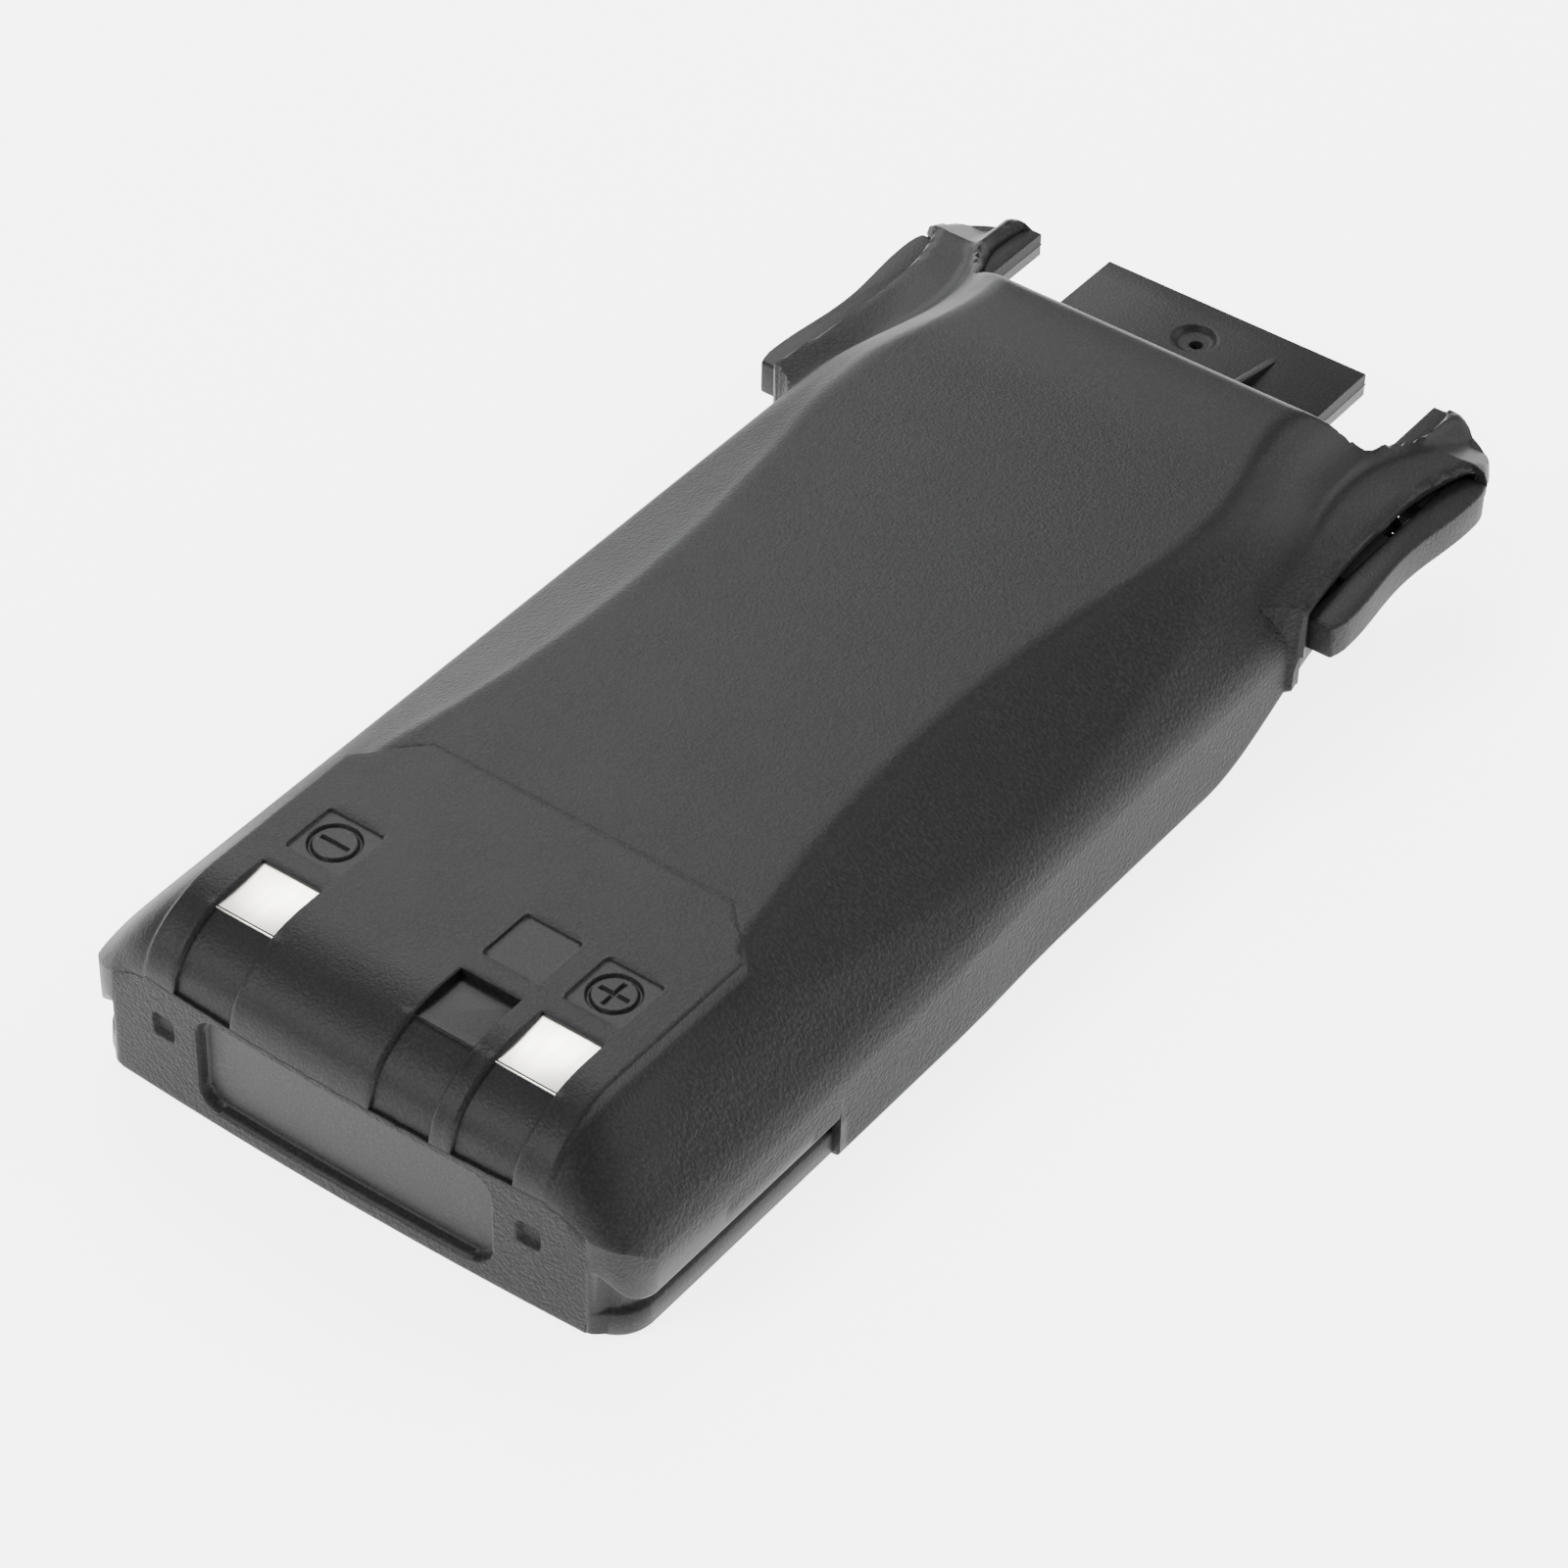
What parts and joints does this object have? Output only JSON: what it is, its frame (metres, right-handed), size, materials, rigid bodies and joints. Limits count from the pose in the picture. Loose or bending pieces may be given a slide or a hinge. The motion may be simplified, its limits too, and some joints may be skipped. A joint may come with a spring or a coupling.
{
  "type": "two-way radio battery pack",
  "caption": "Flat closed battery case with scalloped sides, charging contacts at one end, and a locating tongue between two horns with sprung release buttons at the other.",
  "frame": {"origin": "centre of the overall box on the flat radio side", "axes": "+X across the pack to its positive contact, +Y from the contact end to the tongue end, +Z out of the back"},
  "size_m": [0.0588, 0.12, 0.0176],
  "materials": {
    "shell_plastic": "moulded PC-ABS, fine matt grain",
    "cover_plastic": "moulded PC-ABS, matt",
    "button_plastic": "moulded ABS, satin",
    "spring_steel": "bright drawn wire",
    "cell_can": "blue film over a drawn can",
    "nickel": "bright nickel plate",
    "circuit_board": "green solder resist on glass fibre board",
    "chip_resin": "black moulding resin",
    "chip_ceramic": "fired ceramic",
    "cutoff_case": "grey moulded case",
    "contact_gold": "gold flash over brass",
    "block_plastic": "black glass-filled nylon",
    "fibre_sheet": "fish paper",
    "foam": "grey closed-cell foam",
    "tape": "double-sided tissue tape",
    "label_film": "bare matt label film"
  },
  "bodies": {
    "root": {"back_shell": "shell_plastic", "front_cover": "cover_plastic", "latch_spring_left": "spring_steel", "latch_spring_right": "spring_steel", "cell_lower": "cell_can", "cell_upper": "cell_can", "cell_terminals": "nickel", "series_strip": "nickel", "positive_strip": "nickel", "negative_strip": "nickel", "protection_board": "circuit_board", "protection_chips": "chip_resin", "board_parts": "chip_ceramic", "thermal_cutoff": "cutoff_case", "thermistor": "chip_resin", "charge_contact_negative": "nickel", "charge_contact_positive": "nickel", "radio_contact_negative": "contact_gold", "radio_contact_positive": "contact_gold", "contact_block": "block_plastic", "insulator_sheet": "fibre_sheet", "foam_pad_lower": "foam", "foam_pad_upper": "foam", "adhesive_tape": "tape", "rating_label": "label_film"},
    "button_right": {"release_button_right": "button_plastic"},
    "button_left": {"release_button_left": "button_plastic"}
  },
  "joints": [
    {"name": "release_right", "type": "slide", "parent": "root", "child": "button_right", "axis": [-1, 0, 0], "range_m": [0, 0.002], "stiffness_N_per_m": 600, "deforming": ["latch_spring_right"]},
    {"name": "release_left", "type": "slide", "parent": "root", "child": "button_left", "axis": [1, 0, 0], "range_m": [0, 0.002], "stiffness_N_per_m": 600, "deforming": ["latch_spring_left"]}
  ]
}
